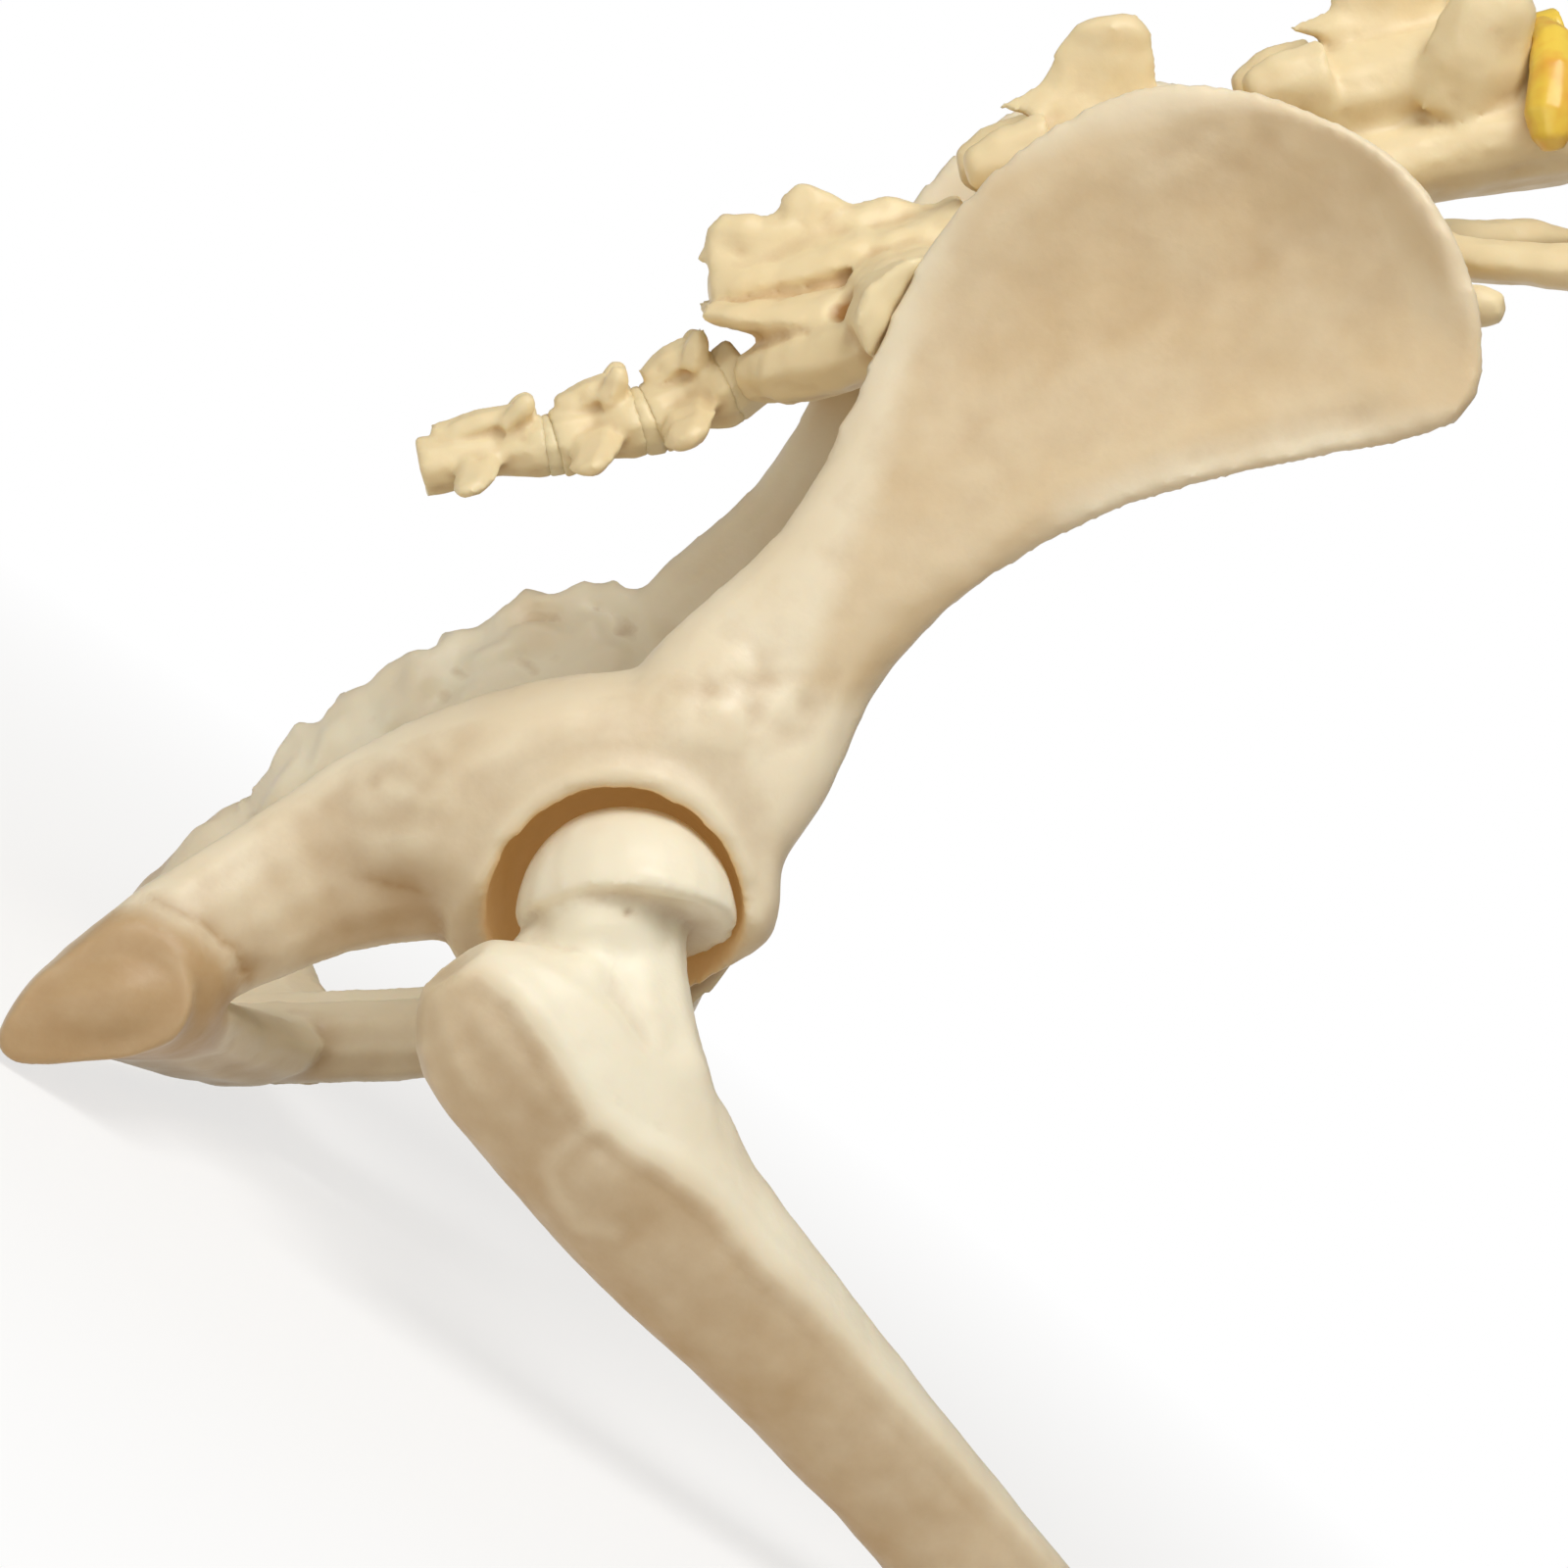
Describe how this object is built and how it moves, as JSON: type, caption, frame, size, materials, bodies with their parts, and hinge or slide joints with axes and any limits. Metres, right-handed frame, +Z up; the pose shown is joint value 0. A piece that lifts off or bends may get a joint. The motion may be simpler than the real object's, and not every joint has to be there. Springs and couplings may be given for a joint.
{
  "type": "dog hip joint model",
  "caption": "Life-size plastic model of a dog's pelvis with sacrum, lumbar and tail vertebrae and one thigh bone held in its hip socket.",
  "frame": {"origin": "bottom centre of the box, at rest on both ischial tubers and the sawn end of the femur", "axes": "+Z up at rest, +X towards the animal's head end, +Y towards the animal's left side"},
  "size_m": [0.1438, 0.1116, 0.1969],
  "materials": {
    "bone_plastic": "moulded ivory PVC with a satin skin and a faint tan tint in its hollows",
    "disc_plastic": "softer moulded plastic, warm tan",
    "nerve_plastic": "moulded yellow plastic, slightly glossy",
    "screw_steel": "plain zinc-plated screw"
  },
  "bodies": {
    "root": {"right_hip_bone": "bone_plastic", "left_hip_bone": "bone_plastic", "right_femur": "bone_plastic", "right_hip_screw": "screw_steel", "sacrum": "bone_plastic", "lumbar_vertebra_7": "bone_plastic", "lumbar_vertebra_6": "bone_plastic", "lumbosacral_disc": "disc_plastic", "lumbar_disc": "disc_plastic", "spinal_cord": "nerve_plastic", "right_nerve_root": "nerve_plastic", "left_nerve_root": "nerve_plastic", "tail_vertebra_1": "bone_plastic", "tail_vertebra_2": "bone_plastic", "tail_vertebra_3": "bone_plastic", "tail_disc_1": "disc_plastic", "tail_disc_2": "disc_plastic", "tail_disc_3": "disc_plastic"}
  },
  "joints": []
}
